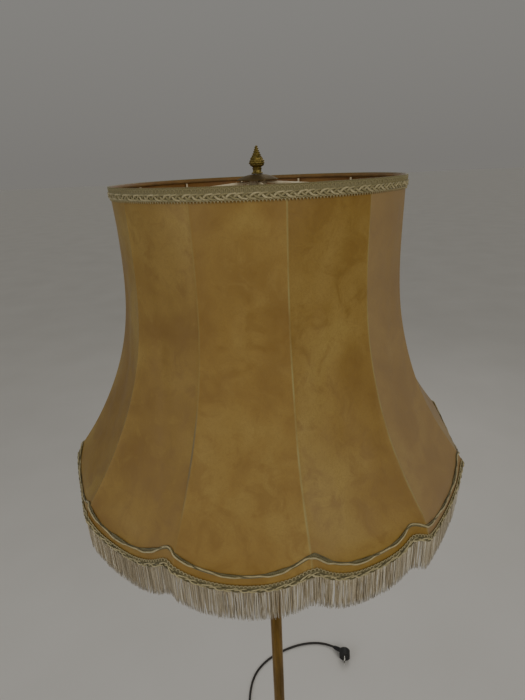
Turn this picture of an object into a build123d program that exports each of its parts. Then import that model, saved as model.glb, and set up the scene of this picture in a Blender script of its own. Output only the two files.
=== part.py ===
"""Brass standard lamp with a bell-shaped, twelve-panel parchment shade and a silk fringe.

Units are millimetres, +Z is up, and the origin is the middle of the felt pad's underside,
on the lamp's axis. The shade hangs on a four-armed spider that is clamped under a domed cap
and a bud finial. Two upright lampholders stand on a cluster at the top of the pole.
"""

from build123d import *
import math
import os

# Driving dimensions -------------------------------------------------------------------------

RIM_Z = 1600.0            # top edge of the shade's upper trim
PANELS = 12               # parchment panels, one between each pair of ribs
SEAM_ANGLE = -81.65       # direction of the first seam, counted from +X towards +Y
WAIST_RADIUS = 190.0      # what the flare starts from, at the rim
RIM_FLARE = 5.0           # the parchment opens out this much more at the rim
RIM_FLARE_DEPTH = 190.0   # and has closed again at this depth
FLARE_RADIUS = 301.0      # radius that the cubic flare would reach
FLARE_DEPTH = 388.0       # at this depth
CURL_DEPTH = 372.0        # below this depth the flare turns back towards the vertical
CURL_LENGTH = 46.0
CUSP_DEPTH = 392.0        # rim to the points of the scalloped hem
SCALLOP = 26.0            # how far each scallop hangs below its two cusps
PARCHMENT = 0.8
FRINGE_LENGTH = 50.0
TRIM_HEIGHT = 16.0        # woven trim round the upper rim
WIRE_R = 2.0              # frame wire of the upper ring and the spider
RIB_R = 1.6               # frame wire of the ribs and the hem
RIB_INSET = 4.5           # parchment's outside face to the middle of a rib
ARM_END_DEPTH = 19.0      # the spider's arms meet the ribs this far below the rim

POLE_R = 11.5
POLE_WALL = 1.6
FLUTES = 8
TIE_R = 5.0               # M10 x 1 threaded tube that pulls the whole pole together
TIE_BORE = 3.5
BASE_R = 150.0
FELT = 2.5
POLE_START = 62.0
SECTION = 400.0           # one length of pole tube
RING_HEIGHT = 8.0
CLUSTER_Z = 1235.0        # underside of the brass cluster
CLUSTER_HEIGHT = 52.0
SOCKET_X = 62.0           # each lampholder stands this far from the axis

FIT = 0.05                # radial clearance of a turning or sliding fit
GAP = 0.3                 # clearance between faces of two bodies

CORD_R = 3.5
EXIT_ANGLE = 113.58       # the flex leaves the base in this direction
EXIT_Z = 9.0
RELIEF_LENGTH = 28.0
COIL_CENTRE = (-137.1, 210.6)
COIL_MEAN_R = 38.0
COIL_HEIGHT = 21.0        # three layers of flex

PLUG_CENTRE = Vector(234.0, 444.0, 18.5)
PLUG_R = 18.5
PLUG_DEPTH = 26.0
PLUG_HEADING = -100.0     # the pins point this way
PIN_R = 2.4
PIN_LENGTH = 19.0
PIN_SPREAD = 19.0
PLUG_NECK = Vector(-0.75, 0.62, -0.22)
PLUG_NECK_LENGTH = 44.0
FLEX_LEAD = [(-71.2, 163.1, 9.0), (-78.4, 179.6, 8.8), (-86.8, 198.8, 4.7), (-96.0, 220.0, 3.5)]
FLEX_RUN = [(-99.5, 207.0, 17.5), (-97.8, 236.0, 15.0), (-96.6, 268.0, 7.4), (-97.2, 303.0, 3.5),
            (-95.0, 340.0, 3.5), (-87.0, 377.0, 3.5), (-69.0, 411.0, 3.5), (-38.0, 441.5, 3.5),
            (0.0, 464.5, 3.5), (38.0, 481.0, 3.5), (76.0, 492.5, 3.5), (116.0, 498.5, 3.5),
            (154.0, 497.0, 3.5), (184.0, 489.0, 4.2)]

PULL_Y = -33.0            # the pull chain hangs in front of the pole
PULL_X = -9.0
PULL_TOP_Z = 1236.0
CHAIN_BEAD_R = 1.6
CHAIN_PITCH = 4.2
CHAIN_BEADS = 24

# Heights and sizes that follow from these

HALF = 180.0 / PANELS     # half the angle of one panel
ARM_Z = RIM_Z - 4.2       # the spider's hub and the upper ring
HUB_R = 12.0
HUB_LOW = ARM_Z - 2.5
HUB_HIGH = ARM_Z + 2.5
CAP_R = 28.2
CAP_TOP = RIM_Z + 6.0
FINIAL_LOW = CAP_TOP + GAP
FINIAL_TOP = RIM_Z + 42.0

RELIEF_R = 5.6
WEIGHT_TOP = 31.0
POCKET_TOP = 21.5         # roof of the pocket for the nut under the weight
WASHER = 1.5
NUT = 7.5

CLUSTER_TOP = CLUSTER_Z + CLUSTER_HEIGHT
ARM_HEIGHT = CLUSTER_Z + 24.0
ARM_TUBE_R = 5.0
CUP_Z = ARM_HEIGHT + 22.0
CHAIN_TOP = PULL_TOP_Z - 20.5


# Small helpers ------------------------------------------------------------------------------


def save(name, shape):
    """Write one node; a list of solids becomes one compound."""
    if isinstance(shape, (list, tuple)):
        shape = Compound(children=list(shape))
    export_step(shape, f"parts/{name}.step")


def ring(outer, inner, low, high):
    """A washer-like ring on the Z axis."""
    return Pos(0, 0, low) * extrude(Circle(outer) - Circle(inner), high - low)


def rod(radius, low, high):
    return Pos(0, 0, low) * extrude(Circle(radius), high - low)


def turned(points):
    """A solid of revolution from an outline of (radius, height) corners."""
    outline = Polyline(*[(r, 0, z) for r, z in points], close=True)
    return revolve(make_face(outline), Axis.Z)


def turned_curve(profile, bore, low, high):
    """A turned piece whose outside runs smoothly through (radius, height) points."""
    side = Spline(*[(r, 0, z) for r, z in profile])
    edge = Polyline(side @ 1, (bore, 0, high), (bore, 0, low), side @ 0)
    return revolve(make_face(side + edge), Axis.Z)


def hexagon_nut(across, bore, low, high):
    flat = RegularPolygon(across / 2, 6, major_radius=False) - Circle(bore)
    return Pos(0, 0, low) * extrude(flat, high - low)


def bar(start, end, radius):
    """A straight round bar between two points."""
    way = end - start
    plane = Plane(origin=start, z_dir=way)
    return extrude(plane * Circle(radius), way.length)


def route_radii(points):
    """The largest arc that each corner's two runs allow."""
    radii = []
    for before, here, after in zip(points, points[1:], points[2:]):
        first = here - before
        second = after - here
        half_turn = math.radians(first.get_angle(second)) / 2
        radii.append(0.45 * min(first.length, second.length) / math.tan(half_turn))
    return radii


def flex(name, corners, radius):
    """Round flex along straight runs joined by arcs; prints its arcs and checks its volume."""
    points = [Vector(*corner) for corner in corners]
    radii = route_radii(points)
    path = FilletPolyline(*points, radius=radii)
    start = Plane(origin=path @ 0, z_dir=path % 0)
    tube = sweep(start * Circle(radius), path=path)
    print(name, "arcs", [round(r) for r in radii], "length", round(path.length, 1),
          "volume ratio", round(tube.volume / (math.pi * radius ** 2 * path.length), 4))
    return tube


# The shade's surface ------------------------------------------------------------------------


def rib_radius(depth):
    """Outside radius along a seam: a cubic flare whose foot curls back to the vertical."""
    spread = FLARE_RADIUS - WAIST_RADIUS
    share = min(depth / RIM_FLARE_DEPTH, 1.0)
    rim = RIM_FLARE * (1 - share * share * (3 - 2 * share))
    if depth <= CURL_DEPTH:
        return WAIST_RADIUS + rim + spread * (depth / FLARE_DEPTH) ** 3
    below = depth - CURL_DEPTH
    slope = 3 * spread * CURL_DEPTH ** 2 / FLARE_DEPTH ** 3
    start = WAIST_RADIUS + spread * (CURL_DEPTH / FLARE_DEPTH) ** 3
    return start + slope * below - slope * below ** 2 / (2 * CURL_LENGTH)


def middle_radius(depth):
    """Outside radius in the middle of a panel: round at the rim, flat from rib to rib below."""
    flatness = 0.96 * (1 - (1 - min(depth / FLARE_DEPTH, 1)) ** 4)
    return rib_radius(depth) * (1 - flatness * (1 - math.cos(math.radians(HALF))))


def panel_section(depth, outward, thickness, side_gap=0.2):
    """Flat strip across one panel, whose middle faces +X; outward is counted from the parchment."""
    sine = math.sin(math.radians(HALF))
    cosine = math.cos(math.radians(HALF))
    corners = []
    for offset in (outward + thickness, outward):
        radius = rib_radius(depth) + offset
        half_width = radius * sine - side_gap
        corners.append((radius * cosine, half_width, middle_radius(depth) + offset))
    (x_out, y_out, mid_out), (x_in, y_in, mid_in) = corners
    outside = ThreePointArc((x_out, -y_out), (mid_out, 0), (x_out, y_out))
    inside = ThreePointArc((x_in, y_in), (mid_in, 0), (x_in, -y_in))
    ends = Line((x_out, y_out), (x_in, y_in)) + Line((x_in, -y_in), (x_out, -y_out))
    return Pos(0, 0, RIM_Z - depth) * make_face(outside + inside + ends)


def panel_strip(depths, outward, thickness):
    return loft([panel_section(depth, outward, thickness) for depth in depths])


def scallop_arc(x, lift, half_width):
    """The hem's scallop as one arc in the plane X = x, raised by lift."""
    cusp = RIM_Z - CUSP_DEPTH + lift
    return ThreePointArc((x, -half_width, cusp), (x, 0, cusp - SCALLOP), (x, half_width, cusp))


def scallop_band(lower_lift, upper_lift):
    """A block that keeps what lies between two copies of the scallop; None keeps all above."""
    near, far = 150.0, 360.0
    half_width = rib_radius(CUSP_DEPTH) * math.sin(math.radians(HALF)) + 1.0
    low = scallop_arc(near, lower_lift, half_width)
    if upper_lift is None:
        top = RIM_Z + 10
        rest = Polyline(low @ 1, (near, half_width, top), (near, -half_width, top), low @ 0)
        face = make_face(low + rest)
    else:
        high = scallop_arc(near, upper_lift, half_width)
        face = make_face(low + high + Line(low @ 1, high @ 1) + Line(low @ 0, high @ 0))
    return extrude(face, amount=far - near, dir=(1, 0, 0))


def round_the_shade(piece):
    """Twelve copies of a piece made for the panel that faces +X."""
    step = 360.0 / PANELS
    return [Rot(0, 0, SEAM_ANGLE + HALF + step * k) * piece for k in range(PANELS)]


def parchment_panel():
    depths = (1, 60, 120, 180, 240, 300, 345, 372, 388, 404, 421)
    return panel_strip(depths, -PARCHMENT, PARCHMENT) & scallop_band(0, None)


def hem_trim(lower_lift, upper_lift, thickness):
    """A trim that follows the scallops on the outside of the parchment."""
    depths = (362, 376, 392, 406, 424)
    return panel_strip(depths, 0.15, thickness) & scallop_band(lower_lift, upper_lift)


def fringe_curtain():
    """The fringe as a thin curtain that hangs straight down from the hem."""
    thickness = 3.0
    cosine = math.cos(math.radians(HALF))
    sine = math.sin(math.radians(HALF))
    radius = rib_radius(CUSP_DEPTH) + 0.6
    middle = middle_radius(CUSP_DEPTH + SCALLOP) + 0.6
    half_width = radius * sine - 0.2
    corners = []
    for offset in (thickness, 0.0):
        corners.append((radius * cosine + offset, half_width, middle + offset))
    (x_out, y_out, mid_out), (x_in, y_in, mid_in) = corners
    outside = ThreePointArc((x_out, -y_out), (mid_out, 0), (x_out, y_out))
    inside = ThreePointArc((x_in, y_in), (mid_in, 0), (x_in, -y_in))
    ends = Line((x_out, y_out), (x_in, y_in)) + Line((x_in, -y_in), (x_out, -y_out))
    bottom = RIM_Z - CUSP_DEPTH - SCALLOP - FRINGE_LENGTH - 5
    block = Pos(0, 0, bottom) * extrude(make_face(outside + inside + ends), 120)
    return block & scallop_band(-FRINGE_LENGTH, -2.5)


# The shade's wire frame ---------------------------------------------------------------------


def rib_wires():
    """One wire behind each seam, in straight runs joined by arcs."""
    depths = (2 * WIRE_R + 2.8, 70, 140, 205, 260, 305, 345, 378)
    points = [Vector(rib_radius(d) - RIB_INSET, 0, RIM_Z - d) for d in depths]
    path = FilletPolyline(*points, radius=route_radii(points))
    start = Plane(origin=path @ 0, z_dir=path % 0)
    wire = sweep(start * Circle(RIB_R), path=path)
    step = 360.0 / PANELS
    return [Rot(0, 0, SEAM_ANGLE + step * k) * wire for k in range(PANELS)]


def hem_wires():
    """The scalloped bottom wire, one arc behind each scallop."""
    half_width = 71.0
    lift = 4.0
    drop = SCALLOP * (1 - (half_width / (rib_radius(CUSP_DEPTH) * math.sin(math.radians(HALF)))) ** 2)
    end_z = RIM_Z - CUSP_DEPTH - drop + lift
    end_x = rib_radius(CUSP_DEPTH) * math.cos(math.radians(HALF)) - 4.0
    low_x = middle_radius(CUSP_DEPTH + SCALLOP - lift) - 3.4
    low_z = RIM_Z - CUSP_DEPTH - SCALLOP + lift
    path = ThreePointArc((end_x, -half_width, end_z), (low_x, 0, low_z), (end_x, half_width, end_z))
    start = Plane(origin=path @ 0, z_dir=path % 0)
    return round_the_shade(sweep(start * Circle(RIB_R), path=path))


def upper_ring():
    depth = RIM_Z - ARM_Z
    major = rib_radius(depth) - PARCHMENT - WIRE_R - 0.6
    return Pos(0, 0, ARM_Z) * Torus(major, WIRE_R)


def spider_arms():
    """Four straight arms that fall from the hub to every third rib."""
    reach = rib_radius(ARM_END_DEPTH) - RIB_INSET - RIB_R + 0.2
    end = Vector(reach, 0, RIM_Z - ARM_END_DEPTH)
    arm = bar(Vector(HUB_R - 0.5, 0, ARM_Z), end, WIRE_R - 0.1)
    return [Rot(0, 0, SEAM_ANGLE + 90 * k) * arm for k in range(4)]


# The top fittings ---------------------------------------------------------------------------

def domed_cap():
    """A shallow spun dome over the hub, with a rolled edge."""
    rim = RIM_Z - 1.6
    sheet = 1.2
    crown = [(20, 0, RIM_Z + 3.0), (9, 0, CAP_TOP - 0.3), (TIE_R + FIT, 0, CAP_TOP)]
    outside = Spline((CAP_R, 0, rim + sheet), *crown)
    inside = Spline((TIE_R + FIT, 0, CAP_TOP - sheet), (9, 0, CAP_TOP - sheet - 0.3),
                    (19.5, 0, RIM_Z + 1.8), (CAP_R - 1.4, 0, rim))
    ends = Line(outside @ 1, inside @ 0) + Line(inside @ 1, (CAP_R, 0, rim))
    ends += Line((CAP_R, 0, rim), outside @ 0)
    return revolve(make_face(outside + inside + ends), Axis.Z)


def finial():
    """A bud on a waisted neck, drilled for the nipple."""
    low = FINIAL_LOW
    top = FINIAL_TOP
    foot = [(7.2, low), (7.5, low + 0.8), (6.8, low + 2.0), (5.8, low + 3.4), (5.8, low + 6.0)]
    bud = [(6.8, low + 8.0), (9.6, low + 11.5), (10.4, low + 14.5), (9.2, low + 18.0),
           (6.4, low + 23.0), (4.2, low + 27.5), (2.8, low + 31.5), (2.0, top - 1.2), (0.0, top)]
    side = Spline(*[(r, 0, z) for r, z in foot + bud])
    bore = TIE_R + FIT
    drill = Polyline(side @ 1, (0, 0, low + 9.0), (bore, 0, low + 9.0), (bore, 0, low), side @ 0)
    return revolve(make_face(side + drill), Axis.Z)


# Base and pole ------------------------------------------------------------------------------


def base_cover():
    """Spun brass shell: upright rim, stepped ogee, and a flat seat for the pole's foot."""
    shoulder = ThreePointArc((BASE_R, 0, 15), (BASE_R - 1.5, 0, 18.5), (BASE_R - 5, 0, 20))
    step = Line((BASE_R - 5, 0, 20), (BASE_R - 16, 0, 21))
    slope = Spline((BASE_R - 16, 0, 21), (112, 0, 25), (80, 0, 29), (52, 0, 33.5), (33, 0, 39), (24, 0, 44),
                   tangents=[(-1, 0, 0.12), (-1, 0, 0.35)])
    seat = Line((24, 0, 44), (TIE_R + 1, 0, 44))
    wall = 1.2
    drop = Line((TIE_R + 1, 0, 44), (TIE_R + 1, 0, 44 - wall))
    under = Line((TIE_R + 1, 0, 44 - wall), (24, 0, 44 - wall))
    inner = Spline((24, 0, 44 - wall), (33, 0, 39 - 1.35), (52, 0, 33.5 - 1.3), (80, 0, 29 - wall),
                   (112, 0, 25 - wall), (BASE_R - 16, 0, 21 - wall))
    tail = Polyline((BASE_R - 16, 0, 21 - wall), (BASE_R - 5, 0, 20 - wall), (BASE_R - wall, 0, 15),
                    (BASE_R - wall, 0, FELT), (BASE_R, 0, FELT), (BASE_R, 0, 15))
    shell = revolve(make_face(shoulder + step + slope + seat + drop + under + inner + tail), Axis.Z)
    return shell - exit_hole(RELIEF_R + 0.1)


def exit_frame(distance):
    """A plane on the flex's way out of the base, facing outwards, at a distance from the axis."""
    turn = math.radians(EXIT_ANGLE)
    way = Vector(math.cos(turn), math.sin(turn), 0)
    return Plane(origin=way * distance + Vector(0, 0, EXIT_Z), z_dir=way)


def exit_hole(radius):
    return extrude(exit_frame(BASE_R - 20) * Circle(radius), 40)


def cord_relief():
    """Tapered rubber sleeve with a flange inside the shell and grip rings outside."""
    inner = BASE_R - 4.0
    flange = extrude(exit_frame(inner) * Circle(RELIEF_R + 0.8), 1.8)
    barrel = extrude(exit_frame(inner + 1.7) * Circle(RELIEF_R), 4.0)
    root = exit_frame(BASE_R + 1) * Circle(RELIEF_R)
    tip = exit_frame(BASE_R + RELIEF_LENGTH) * Circle(4.6)
    sleeve = loft([root, tip])
    rings = [extrude(exit_frame(BASE_R + 4 + 5 * k) * Circle(6.0 - 0.12 * k), 2.2) for k in range(5)]
    bore = extrude(exit_frame(inner - 1) * Circle(CORD_R), RELIEF_LENGTH + 10)
    return flange + barrel + sleeve + rings - bore


def base_weight():
    """Cast disc with a raised boss, a pocket for the nut and a channel for the flex."""
    disc = turned([(TIE_R + 0.3, WEIGHT_TOP), (34.0, WEIGHT_TOP), (38.0, 19.0), (BASE_R - 8.0, 17.0),
                   (BASE_R - 5.0, 13.0), (BASE_R - 5.0, FELT), (TIE_R + 0.3, FELT)])
    pocket = rod(18.0, FELT - 1, POCKET_TOP)
    channel = Box(BASE_R, 15.0, 16.0, align=(Align.MIN, Align.CENTER, Align.MIN))
    return disc - pocket - Rot(0, 0, EXIT_ANGLE) * Pos(0, 0, FELT - 1) * channel


def pole_foot():
    """Turned collar between the base and the pole, with a bead and a cove."""
    profile = [(21.0, 44.0), (22.2, 46.5), (20.5, 49.0), (16.2, 52.0), (14.6, 56.0), (15.8, 59.0)]
    profile += [(15.2, 62.0)]
    return turned_curve(profile, TIE_R + 0.1, 44.0, POLE_START)


def pole_tube(low, high):
    """One length of brass tube with shallow flutes along it."""
    section = Circle(POLE_R) - Circle(POLE_R - POLE_WALL - 0.9)
    cutters = PolarLocations(POLE_R + 1.15, FLUTES, start_angle=-90) * Circle(2.0)
    return Pos(0, 0, low) * extrude(section - cutters, high - low)


def pole_rings():
    """The two turned couplings between the three lengths of pole."""
    rings = []
    for k in (1, 2):
        low = POLE_START + SECTION * k + RING_HEIGHT * (k - 1)
        profile = [(11.8, low), (13.4, low + 1.6), (14.0, low + 4.0), (13.4, low + 6.4), (11.8, low + 8.0)]
        rings.append(turned_curve(profile, TIE_R + 0.1, low, low + RING_HEIGHT))
    return rings


def inner_lead():
    """The flex inside the lamp: from the exit to the axis, then up the threaded tube."""
    turn = math.radians(EXIT_ANGLE)
    start = Vector(math.cos(turn), math.sin(turn), 0) * (BASE_R - 4.5) + Vector(0, 0, EXIT_Z)
    bend = Vector(0, 0, 6.0)
    return bar(start, bend, 2.9) + rod(2.9, FELT + 0.6, CLUSTER_Z + 8)


# Cluster, lampholders and bulbs -------------------------------------------------------------

def cluster_body():
    """Hollow turned body on top of the pole; the socket arms and the switch come out of it."""
    low = CLUSTER_Z
    profile = [(15.5, low), (17.0, low + 3), (15.0, low + 7), (19.5, low + 14), (22.0, low + 24),
               (19.5, low + 35), (13.0, low + 44), (12.5, low + 48), (11.0, CLUSTER_TOP)]
    body = turned_curve(profile, TIE_R + 0.1, low, CLUSTER_TOP)
    hollow = rod(14.0, low + 13, low + 36)
    sleeves = Pos(0, 0, ARM_HEIGHT) * Rot(0, 90, 0) * Cylinder(ARM_TUBE_R + 0.05, 60)
    slot = Pos(PULL_X, PULL_Y / 2 - 2, PULL_TOP_Z + 14) * Box(13.4, 30.0, 13.4)
    return body - hollow - sleeves - slot


def socket_arm(side):
    """A bent brass tube, out of the cluster and up into the lampholder's cup."""
    bend = 12.0
    start = Vector(side * 15.0, 0, ARM_HEIGHT)
    corner = Vector(side * SOCKET_X, 0, ARM_HEIGHT)
    end = Vector(side * SOCKET_X, 0, CUP_Z + 3.0)
    path = FilletPolyline(start, corner, end, radius=bend)
    plane = Plane(origin=path @ 0, z_dir=path % 0)
    return sweep(plane * (Circle(ARM_TUBE_R) - Circle(ARM_TUBE_R - 1.0)), path=path)


def socket_cup():
    """Brass cup that carries the lampholder and hides its terminals."""
    low = CUP_Z
    bore = ARM_TUBE_R + 0.05
    outline = [(bore, low), (12.0, low), (17.0, low + 3.5), (20.5, low + 10.0), (21.0, low + 20.0),
               (20.0, low + 20.0), (19.5, low + 10.5), (16.4, low + 4.8), (12.0, low + 1.4),
               (bore, low + 1.4)]
    return turned(outline)


def lampholder():
    """Insulating E27 lampholder: closed floor, threaded bore and a collar ring outside."""
    low = CUP_Z + 6.0
    outline = [(0.0, low), (15.0, low), (18.6, low + 5.0), (18.6, low + 16.0), (19.6, low + 16.0),
               (19.6, low + 22.0), (18.4, low + 22.0), (18.4, low + 50.0), (16.8, low + 52.0),
               (14.0, low + 52.0), (14.0, low + 22.0), (0.0, low + 22.0)]
    return turned(outline)


def bulb_cap():
    """E27 screw cap with its thread as rounded rings, and the centre contact."""
    low = CUP_Z + 6.0 + 22.4
    outline = [(0.0, low), (3.6, low), (4.4, low + 2.2), (11.0, low + 4.6)]
    for k in range(6):
        height = low + 5.4 + 3.4 * k
        outline += [(13.2, height), (13.2, height + 1.2), (12.3, height + 2.0), (12.3, height + 2.8)]
    outline += [(13.0, low + 27.0), (11.9, low + 27.0), (11.9, low + 9.0), (0.0, low + 6.0)]
    return turned(outline)


def bulb_glass():
    """Pear-shaped glass envelope, one millimetre thick and open at its neck."""
    low = CUP_Z + 6.0 + 22.4 + 22.0
    profile = ((11.6, 0), (12.2, 8), (17.0, 24), (26.0, 42), (30.0, 58), (27.0, 74), (17.0, 85), (0.0, 89))
    outer = Spline(*[(r, 0, low + z) for r, z in profile], tangents=[(0, 0, 1), (-1, 0, 0)])
    shrunk = [(max(r - 1.0, 0.0), 0, low + (z if r else z - 1.0)) for r, z in profile]
    inner = Spline(*shrunk, tangents=[(0, 0, 1), (-1, 0, 0)])
    ends = Line(outer @ 0, inner @ 0) + Line(outer @ 1, inner @ 1)
    return revolve(make_face(outer + inner + ends), Axis.Z)


def on_both_arms(piece):
    return [Pos(side * SOCKET_X, 0, 0) * piece for side in (-1, 1)]


# Pull switch --------------------------------------------------------------------------------


def pull_switch():
    """Snap switch let into the front of the cluster, with a guide for the pull's stem."""
    middle = PULL_TOP_Z + 14
    case = Pos(PULL_X, PULL_Y / 2 - 5.5, middle) * Box(13.0, 22.0, 13.0)
    nose = Pos(PULL_X, PULL_Y, middle - 4) * Cylinder(5.5, 21.0)
    return case + nose - Pos(PULL_X, PULL_Y, 0) * rod(1.6, PULL_TOP_Z - 10, middle - 2)


def pull_stem():
    """The stem that slides in the switch, ending in an eye for the chain."""
    stem = rod(1.6 - FIT, PULL_TOP_Z - 13, PULL_TOP_Z + 11)
    eye = Pos(0, 0, PULL_TOP_Z - 15.5) * Rot(90, 0, 0) * Torus(2.8, 0.8)
    return Pos(PULL_X, PULL_Y, 0) * (stem + eye)


def pull_chain():
    """Ball chain: beads on a thin wire, turned as one outline, with a link round the eye."""
    wire = rod(0.5, CHAIN_TOP - CHAIN_PITCH * CHAIN_BEADS, CHAIN_TOP + 1.0)
    heights = [CHAIN_TOP - CHAIN_PITCH * (k + 0.5) for k in range(CHAIN_BEADS)]
    beads = [Pos(0, 0, height) * Sphere(CHAIN_BEAD_R) for height in heights]
    return Pos(PULL_X, PULL_Y, 0) * (wire + beads)


def pull_knob():
    """Turned brass bell at the end of the chain."""
    top = CHAIN_TOP - CHAIN_PITCH * CHAIN_BEADS
    profile = [(2.2, top), (3.2, top - 2.0), (3.0, top - 5.0), (4.6, top - 9.0), (6.4, top - 14.0)]
    profile += [(6.6, top - 18.0)]
    side = Spline(*[(r, 0, z) for r, z in profile])
    edge = Polyline(side @ 1, (5.0, 0, top - 20.0), (0, 0, top - 20.0), (0, 0, top), side @ 0)
    return Pos(PULL_X, PULL_Y, 0) * revolve(make_face(side + edge), Axis.Z)


# Mains flex and plug ------------------------------------------------------------------------

def plug_frame():
    """The plug stands on its round edge; its own Z axis is the way that the pins point."""
    turn = math.radians(PLUG_HEADING)
    way = Vector(math.cos(turn), math.sin(turn), 0)
    return Plane(origin=PLUG_CENTRE, x_dir=(0, 0, 1), z_dir=way)


def neck_start():
    return PLUG_CENTRE - plug_frame().z_dir * 5.0


def plug_body():
    """Moulded angled plug: round body with a recessed rim, and its ribbed neck."""
    frame = plug_frame()
    body = Pos(0, 0, -PLUG_DEPTH / 2) * extrude(Circle(PLUG_R), PLUG_DEPTH)
    body = fillet(body.edges().filter_by(GeomType.CIRCLE).sort_by(Axis.Z)[0], 4.0)
    body = chamfer(body.edges().filter_by(GeomType.CIRCLE).sort_by(Axis.Z)[-1], 0.8)
    notches = [Pos(0, side * (PLUG_R + 0.6), 3.0) * Box(8.0, 4.0, 30.0) for side in (-1, 1)]
    solid = frame * (body - notches)
    start = neck_start()
    way = PLUG_NECK.normalized()
    thick = Plane(origin=start + way * 8, z_dir=way)
    thin = Plane(origin=start + way * PLUG_NECK_LENGTH, z_dir=way)
    neck = loft([thick * Circle(8.0), thin * Circle(4.7)])
    rings = []
    for k in range(4):
        along = Plane(origin=start + way * (23 + 5 * k), z_dir=way)
        rings.append(extrude(along * Circle(7.4 - 0.45 * k), 2.4))
    bore = extrude(Plane(origin=start + way * 22, z_dir=way) * Circle(CORD_R), 40)
    return solid + neck + rings - bore


def plug_pins():
    frame = plug_frame()
    pin = Pos(0, 0, PLUG_DEPTH / 2) * extrude(Circle(PIN_R), PIN_LENGTH)
    pin = fillet(pin.edges().filter_by(GeomType.CIRCLE).sort_by(Axis.Z)[-1], 1.6)
    return [frame * Pos(side * PIN_SPREAD / 2, 0, 0) * pin for side in (-1, 1)]


def plug_clips():
    """The two side contacts, bent strips let into the notches of the body."""
    frame = plug_frame()
    clip = Box(5.0, 0.8, 17.0)
    return [frame * Pos(0, side * (PLUG_R - 0.9), 4.0) * clip for side in (-1, 1)]


def coil():
    """The spare flex, wound into one neat ring and put away behind the base."""
    return Pos(*COIL_CENTRE, 0) * ring(COIL_MEAN_R + 7.0, COIL_MEAN_R - 7.0, 0, COIL_HEIGHT)


# Writing the parts --------------------------------------------------------------------------


def write_base_and_pole():
    save("felt_pad", rod(BASE_R - 4.0, 0, FELT))
    save("base_weight", base_weight())
    save("base_cover", base_cover())
    save("base_nut", hexagon_nut(17.0, TIE_R, POCKET_TOP - WASHER - NUT, POCKET_TOP - WASHER))
    save("base_washer", ring(15.0, TIE_R + 0.2, POCKET_TOP - WASHER, POCKET_TOP))
    save("pole_foot", pole_foot())
    lengths = [POLE_START + (SECTION + RING_HEIGHT) * k for k in range(3)]
    save("lower_pole", pole_tube(lengths[0], lengths[0] + SECTION))
    save("middle_pole", pole_tube(lengths[1], lengths[1] + SECTION))
    save("upper_pole", pole_tube(lengths[2], CLUSTER_Z))
    save("pole_rings", pole_rings())
    save("tie_tube", ring(TIE_R, TIE_BORE, POCKET_TOP - WASHER - NUT - 1.0, CLUSTER_Z + 10))
    save("inner_lead", inner_lead())
    save("cord_relief", cord_relief())


def write_cluster():
    save("cluster_body", cluster_body())
    save("cluster_nut", hexagon_nut(17.0, TIE_R, CLUSTER_TOP, CLUSTER_TOP + 5.0))
    for side, name in ((-1, "left"), (1, "right")):
        place = Pos(side * SOCKET_X, 0, 0)
        save(f"socket_arm_{name}", socket_arm(side))
        save(f"lampholder_{name}", place * lampholder())
        save(f"bulb_glass_{name}", place * bulb_glass())
    save("socket_cups", on_both_arms(socket_cup()))
    save("bulb_caps", on_both_arms(bulb_cap()))
    save("pull_switch", pull_switch())
    save("pull_stem", pull_stem())
    save("pull_chain", pull_chain())
    save("pull_knob", pull_knob())


def write_top_fittings():
    seat_low = HUB_LOW - GAP - 8.0
    save("stem_tube", ring(6.5, TIE_R, CLUSTER_TOP + 5.0, seat_low))
    save("stem_seat", turned([(TIE_R + 0.02, seat_low), (8.0, seat_low), (13.0, seat_low + 6.0),
                              (13.0, HUB_LOW - GAP), (TIE_R + 0.02, HUB_LOW - GAP)]))
    save("top_nipple", ring(TIE_R, 3.0, seat_low - 24, FINIAL_LOW + 8.0))
    save("hub_nut", hexagon_nut(17.0, TIE_R, HUB_HIGH + GAP, CAP_TOP - 2.3))
    save("cap_disc", domed_cap())
    save("finial", finial())


def write_shade():
    save("spider_hub", ring(HUB_R, TIE_R + FIT, HUB_LOW, HUB_HIGH))
    save("spider_arms", spider_arms())
    save("top_ring", upper_ring())
    save("shade_ribs", rib_wires())
    save("hem_wire", hem_wires())
    for number, panel in enumerate(round_the_shade(parchment_panel()), start=1):
        save(f"panel_{number:02d}", panel)
    rim = rib_radius(0)
    save("top_braid", ring(rim + 3.6, rim + 0.6, RIM_Z - TRIM_HEIGHT, RIM_Z))
    save("hem_cord", round_the_shade(hem_trim(11.0, 14.5, 3.0)))
    save("hem_braid", round_the_shade(hem_trim(-2.0, 7.0, 3.2)))
    save("fringe", round_the_shade(fringe_curtain()))


def write_flex():
    save("cord_lead", flex("cord_lead", FLEX_LEAD, CORD_R))
    neck_end = neck_start() + PLUG_NECK.normalized() * PLUG_NECK_LENGTH
    save("cord_run", flex("cord_run", FLEX_RUN + [tuple(neck_end)], CORD_R))
    save("cord_coil", coil())
    save("plug_body", plug_body())
    save("plug_pins", plug_pins())
    save("plug_clips", plug_clips())


os.makedirs("parts", exist_ok=True)
write_base_and_pole()
write_cluster()
write_top_fittings()
write_shade()
write_flex()
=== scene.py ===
"""Looks of the brass standard lamp with a twelve-panel parchment shade and a silk fringe.

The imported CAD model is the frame: metres, +Z up, the lamp's axis on Z. The shade's surface is
worked out here with the same few dimensions as in the CAD source, so every trim lies on it.
"""

import math
import random

import bpy
import numpy as np
from mathutils import Matrix, Vector


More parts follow.
